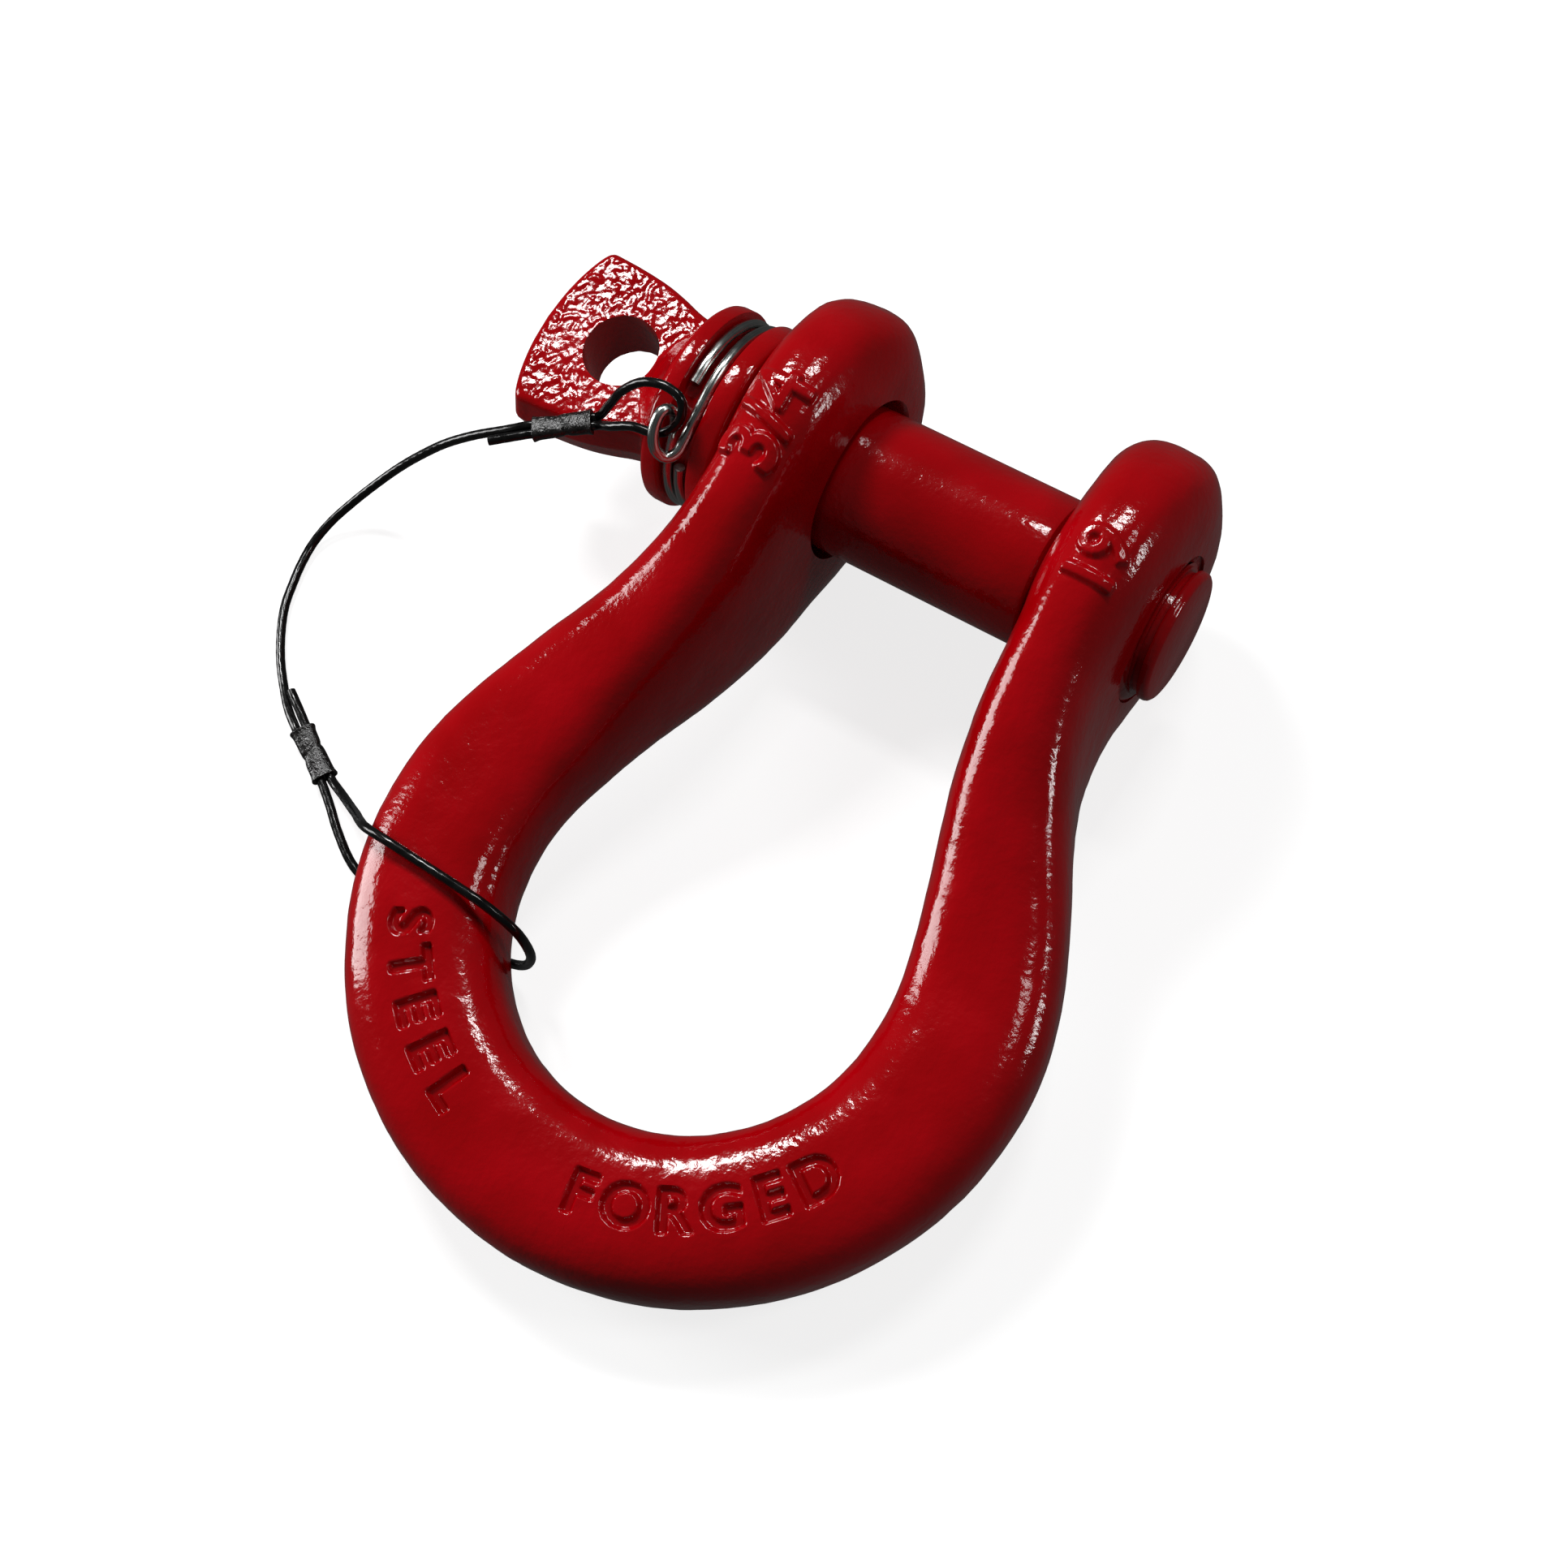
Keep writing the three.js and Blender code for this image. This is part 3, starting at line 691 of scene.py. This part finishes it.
UPPER_ROUTE = [
    (-65.4, -22.2, 26.9),
    *strand(UPPER_FERRULE, 1),
    (-49.2, -13.5, 31.2), (-45.4, -13.1, 33.4), (-42.3, -12.9, 34), (-40.5, -12.4, 34.5),
    (-39, -11.5, 35.8), (-38.3, -10.3, 37.6), (-38.9, -9.1, 39.3), (-41.6, -8.5, 39.9),
    (-45.4, -8.9, 38.9), (-48.9, -10, 35.6), (-51, -11, 32),
    *reversed(strand(UPPER_FERRULE, -1)),
    (-64.4, -19.2, 26.6), (-69.6, -20.9, 23.6), (-74.6, -22.4, 19.8), (-79, -23.9, 15.6),
    (-83, -25.7, 11.5), (-86.5, -28.2, 7.8), (-89.6, -31.5, 4.6), (-91.8, -35.4, 2.4),
    (-92.6, -39.4, 1.2), (-92.1, -43.4, 0.85),
]
LOWER_ROUTE = [
    (-91.2, -46.6, 0.8), (-89.9, -50.3, 0.8), (-87.8, -54, 0.8), (-84.7, -58.2, 0.8),
    (-81, -62, 1.1), (-77.6, -64.9, 1.9),
    *strand(LOWER_FERRULE, 1),
    (-62.9, -74.2, 1.7), (-59.5, -76.9, 1.4), (-54, -80.2, 1.2), (-46.2, -81.8, 1.1),
    (-35.2, -81.7, 1.2), (-27.4, -81.4, 2.2), (-22.6, -81.1, 5.2), (-20.3, -80.9, 10),
    (-19.9, -80.9, 15), (-21, -80.9, 19.4), (-24.8, -80.8, 22.5), (-31.2, -80.6, 23.5),
    (-37.6, -80.3, 23.4), (-42.2, -80.1, 23.5), (-46.2, -79.6, 22.1), (-49.9, -78, 17.6),
    (-53.7, -76, 11.8), (-57.4, -74.2, 6.8), (-61.3, -72.4, 3.6),
    *reversed(strand(LOWER_FERRULE, -1)),
    (-76.2, -64, 2.7), (-78.9, -62.3, 2.8),
]


def make_lanyard():
    """The coated wire, with its strands showing faintly through the coating, and its middle line."""
    sides = 30
    route = [GROUND @ (Vector(p) * MM) for p in UPPER_ROUTE + LOWER_ROUTE]
    line = fine_line(route, 0.35 * MM)
    profile = []
    for i in range(sides):
        hollow = 1 - math.cos(CABLE_STRANDS * math.tau * i / sides)
        profile.append(CABLE_D / 2 * (1 - CABLE_GROOVE * hollow))
    cable = tube("lanyard_cable", line, profile, math.tau / CABLE_LAY)
    return cable, line


def make_ferrule(name, ferrule):
    """A crimped double-barrel sleeve: oval, flared at both ends, its crimp a slanting step."""
    at, along = ferrule
    wall, recess = 0.28 * MM, 0.35 * MM
    crimp_half, crimp_slant = 1.5 * MM, 0.45
    end = FERRULE_L / 2
    widths = [
        (-end, 1.12), (-4.25, 1.13), (-3.7, 1.02), (-3.2, 0.99), (-0.9, 0.98), (-0.55, 0.88),
        (-0.2, 0.86), (0.15, 0.9), (0.5, 1.0), (3.2, 1.0), (3.7, 1.03), (4.25, 1.13), (end, 1.12),
    ]
    stations = []
    for z, k in widths:
        stations.append((Vector((0, z * MM, 0)), 0.0, FERRULE_HALF_W * k, FERRULE_HALF_H * k))
    sleeve = sweep(name, stations, {15: 1.02, 30: 1.08, 45: 1.12}, 24)
    active(sleeve)
    bpy.ops.object.mode_set(mode="EDIT")
    for side in (-1, 1):
        select_where(sleeve, lambda co: abs(co.y * side - end * MM) < 1e-5)
        bpy.ops.mesh.inset(thickness=wall)
        bpy.ops.mesh.extrude_region_move(TRANSFORM_OT_translate={"value": (0, -side * recess, 0)})
    bpy.ops.object.mode_set(mode="OBJECT")
    outward(sleeve)
    for vertex in sleeve.data.vertices:
        if abs(vertex.co.y) < crimp_half:
            vertex.co.y += vertex.co.x * crimp_slant
    apply(sleeve, "SUBSURF", levels=2, render_levels=2)
    smooth(sleeve, 50)
    z = along.normalized()
    x = Vector((z.y, -z.x, 0)).normalized()
    turn = Matrix((x, z, x.cross(z))).transposed().to_4x4()
    place(sleeve, GROUND @ Matrix.Translation(at * MM) @ turn)
    return sleeve


# ---------------------------------------------------------------- materials


def make_grain():
    """The grain that every finish shares: slow and fine noise on Object coordinates, scales in
    repeats a millimetre. Tone drives colour and gloss, and Height drives the relief."""
    group = bpy.data.node_groups.new("surface_grain", "ShaderNodeTree")
    sockets = group.interface
    for name in ("Slow", "Fine", "Fine Share"):
        sockets.new_socket(name, in_out="INPUT", socket_type="NodeSocketFloat")
    for name in ("Tone", "Height"):
        sockets.new_socket(name, in_out="OUTPUT", socket_type="NodeSocketFloat")
    given = group.nodes.new("NodeGroupInput")
    result = group.nodes.new("NodeGroupOutput")
    coordinates = group.nodes.new("ShaderNodeTexCoord")
    noises = []
    for name, detail in (("Slow", 2.0), ("Fine", 3.0)):
        scale = group.nodes.new("ShaderNodeMath")
        scale.operation = "MULTIPLY"
        scale.inputs[1].default_value = 1 / MM
        noise = group.nodes.new("ShaderNodeTexNoise")
        noise.inputs["Detail"].default_value = detail
        group.links.new(given.outputs[name], scale.inputs[0])
        group.links.new(scale.outputs[0], noise.inputs["Scale"])
        group.links.new(coordinates.outputs["Object"], noise.inputs["Vector"])
        noises.append(noise.outputs["Fac"])
    mix = group.nodes.new("ShaderNodeMix")
    group.links.new(given.outputs["Fine Share"], mix.inputs["Factor"])
    group.links.new(noises[0], mix.inputs["A"])
    group.links.new(noises[1], mix.inputs["B"])
    group.links.new(noises[0], result.inputs["Tone"])
    group.links.new(mix.outputs["Result"], result.inputs["Height"])
    return group


def grain(tree, slow, fine, share):
    """The shared grain's tone and height, with fine noise making up that share of the height."""
    node = tree.nodes.new("ShaderNodeGroup")
    node.node_tree = surface_grain
    node.inputs["Slow"].default_value = slow
    node.inputs["Fine"].default_value = fine
    node.inputs["Fine Share"].default_value = share
    return node.outputs["Tone"], node.outputs["Height"]


def ramp(tree, value, low, high):
    """Blends two colours where the value goes from 0.32 to 0.68."""
    node = tree.nodes.new("ShaderNodeValToRGB")
    for element, position, colour in zip(node.color_ramp.elements, (0.32, 0.68), (low, high)):
        element.position = position
        element.color = (*colour, 1)
    tree.links.new(value, node.inputs["Fac"])
    return node.outputs["Color"]


def tint(tree, shader, value, low, high):
    """Gives the finish a colour between two."""
    tree.links.new(ramp(tree, value, low, high), shader.inputs["Base Color"])


def dull(tree, shader, value, low, high):
    """Gives the finish a roughness between two."""
    tree.links.new(ramp(tree, value, (low,) * 3, (high,) * 3), shader.inputs["Roughness"])


def relief(tree, shader, height, depth):
    """Raises the finish by depth metres where the height is 1."""
    node = tree.nodes.new("ShaderNodeBump")
    node.inputs["Distance"].default_value = depth
    node.inputs["Strength"].default_value = 1
    tree.links.new(height, node.inputs["Height"])
    tree.links.new(node.outputs["Normal"], shader.inputs["Normal"])


def material(name):
    made = bpy.data.materials.new(name)
    made.use_nodes = True
    return made, made.node_tree, made.node_tree.nodes["Principled BSDF"]


def red_powder_coat(name, fine, share, depth):
    """Deep red gloss powder coat: slow tone changes, gloss that comes and goes, orange peel."""
    made, tree, shader = material(name)
    tone, height = grain(tree, 0.09, fine, share)
    tint(tree, shader, tone, (0.3, 0.0, 0.0015), (0.38, 0.0, 0.003))
    dull(tree, shader, tone, 0.08, 0.14)
    shader.inputs["Specular IOR Level"].default_value = 0.45
    relief(tree, shader, height, depth)
    return made


def drawn_wire():
    """Drawn steel, dark between bright lengthwise streaks that are partly die marks and partly
    painted highlight streaks.
    """
    made, tree, shader = material("drawn_wire")
    coordinates = tree.nodes.new("ShaderNodeTexCoord")
    mapping = tree.nodes.new("ShaderNodeMapping")
    mapping.inputs["Scale"].default_value = (3, 8, 1)
    die_lines_and_painted_streaks = tree.nodes.new("ShaderNodeTexNoise")
    die_lines_and_painted_streaks.inputs["Scale"].default_value = 4
    tree.links.new(coordinates.outputs["UV"], mapping.inputs["Vector"])
    tree.links.new(mapping.outputs["Vector"], die_lines_and_painted_streaks.inputs["Vector"])
    shader.inputs["Metallic"].default_value = 1
    stained = grain(tree, 0.5, 2, 0.5)[0]
    # The bright streaks in this colour are partly die marks and partly painted highlight streaks.
    tint(tree, shader, die_lines_and_painted_streaks.outputs["Fac"], (0.26, 0.28, 0.27), (0.6, 0.62, 0.6))
    dull(tree, shader, stained, 0.28, 0.15)
    relief(tree, shader, die_lines_and_painted_streaks.outputs["Fac"], 0.00003)
    return made


def black_coating():
    """Thin black plastic over the wire, glossy where it isn't rubbed."""
    made, tree, shader = material("black_coating")
    tone, height = grain(tree, 0.8, 2.2, 0.5)
    tint(tree, shader, tone, (0.002,) * 3, (0.005,) * 3)
    dull(tree, shader, tone, 0.14, 0.22)
    shader.inputs["Specular IOR Level"].default_value = 0.4
    relief(tree, shader, height, 0.00002)
    return made


def black_sleeve():
    """Black crimped sleeve, dented and rubbed to a dull brown-black in places."""
    made, tree, shader = material("black_sleeve")
    worn, height = grain(tree, 1.3, 3.5, 0.4)
    tint(tree, shader, worn, (0.002,) * 3, (0.014, 0.013, 0.012))
    dull(tree, shader, worn, 0.12, 0.3)
    relief(tree, shader, height, 0.00022)
    return made


def paint(piece, made):
    piece.data.materials.clear()
    piece.data.materials.append(made)


# ---------------------------------------------------------------- table and light

# Each soft box: name, azimuth and elevation in degrees, width, height and watts.
LIGHTS = (
    ("key", 93, 61, 0.22, 0.09, 2.2),
    ("soft_box", 149, 52, 0.22, 0.2, 5.2),
    ("left_strip", -166, 15, 0.36, 0.6, 7),
    ("right_strip", 22, 5, 0.08, 0.3, 1.2),
    ("right_fill", 28, 52, 0.2, 0.2, 1.1),
)
AIM_HEIGHT = 20 * MM


def area_light(name, azimuth, elevation, size, size_y, power):
    """A soft box a metre from the shackle, aimed at it; azimuth turns from +X towards +Y."""
    data = bpy.data.lights.new(name, "AREA")
    data.shape = "RECTANGLE"
    data.size = size
    data.size_y = size_y
    data.energy = power
    a, e = math.radians(azimuth), math.radians(elevation)
    toward = Vector((math.cos(e) * math.cos(a), math.cos(e) * math.sin(a), math.sin(e)))
    light = bpy.data.objects.new(name, data)
    light.location = toward + Vector((0, 0, AIM_HEIGHT))
    light.rotation_euler = toward.to_track_quat("Z", "Y").to_euler()
    bpy.context.scene.collection.objects.link(light)


def make_table():
    """A table that glows white by itself, and neither lights the shackle nor shows in its gloss."""
    bpy.ops.mesh.primitive_plane_add(size=40, location=(0, 0, 0))
    table = named("table")
    made, tree, shader = material("white_table")
    shader.inputs["Base Color"].default_value = (0.4, 0.4, 0.4, 1)
    shader.inputs["Roughness"].default_value = 0.9
    shader.inputs["Specular IOR Level"].default_value = 0.0
    shader.inputs["Emission Color"].default_value = (1, 1, 1, 1)
    shader.inputs["Emission Strength"].default_value = 0.8
    made.cycles.emission_sampling = "NONE"
    paint(table, made)
    table.visible_diffuse = False
    table.visible_glossy = False


def make_room():
    """A dim room with a pale backdrop that only the camera sees, and the lights."""
    world = bpy.data.worlds.new("grey_room")
    world.use_nodes = True
    tree = world.node_tree
    dim = tree.nodes["Background"]
    dim.inputs["Color"].default_value = (1, 1, 1, 1)
    dim.inputs["Strength"].default_value = 0.06
    pale = tree.nodes.new("ShaderNodeBackground")
    pale.inputs["Color"].default_value = (0.85, 0.85, 0.85, 1)
    rays = tree.nodes.new("ShaderNodeLightPath")
    backdrop = tree.nodes.new("ShaderNodeMixShader")
    tree.links.new(rays.outputs["Is Camera Ray"], backdrop.inputs["Fac"])
    tree.links.new(dim.outputs["Background"], backdrop.inputs[1])
    tree.links.new(pale.outputs["Background"], backdrop.inputs[2])
    tree.links.new(backdrop.outputs["Shader"], tree.nodes["World Output"].inputs["Surface"])
    bpy.context.scene.world = world
    for light in LIGHTS:
        area_light(*light)
    bpy.context.scene.view_settings.view_transform = "Standard"


make_table()
make_room()

surface_grain = make_grain()
red = red_powder_coat("red_powder_coat", 0.9, 0.3, 0.00028)
bow = make_bow()
pin = make_pin()
ring = make_ring()
cable, cable_line = make_lanyard()
upper_sleeve = make_ferrule("upper_sleeve", UPPER_FERRULE)
lower_sleeve = make_ferrule("lower_sleeve", LOWER_FERRULE)

paint(bow, red)
paint(pin, red)
paint(ring, drawn_wire())
paint(cable, black_coating())
sleeve_finish = black_sleeve()
paint(upper_sleeve, sleeve_finish)
paint(lower_sleeve, sleeve_finish)

for piece, body, node, slot in (
    (bow, "bow", "bow", "red_paint"),
    (pin, "pin", "screw_pin", "red_paint"),
    (ring, "ring", "retaining_ring", "wire_steel"),
    (upper_sleeve, "ring", "ferrule_upper", "black_sleeve"),
    (lower_sleeve, "bow", "ferrule_lower", "black_sleeve"),
):
    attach(piece, body)
    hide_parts(node)

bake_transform(cable)
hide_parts("lanyard_cable_upper", "lanyard_cable_lower")
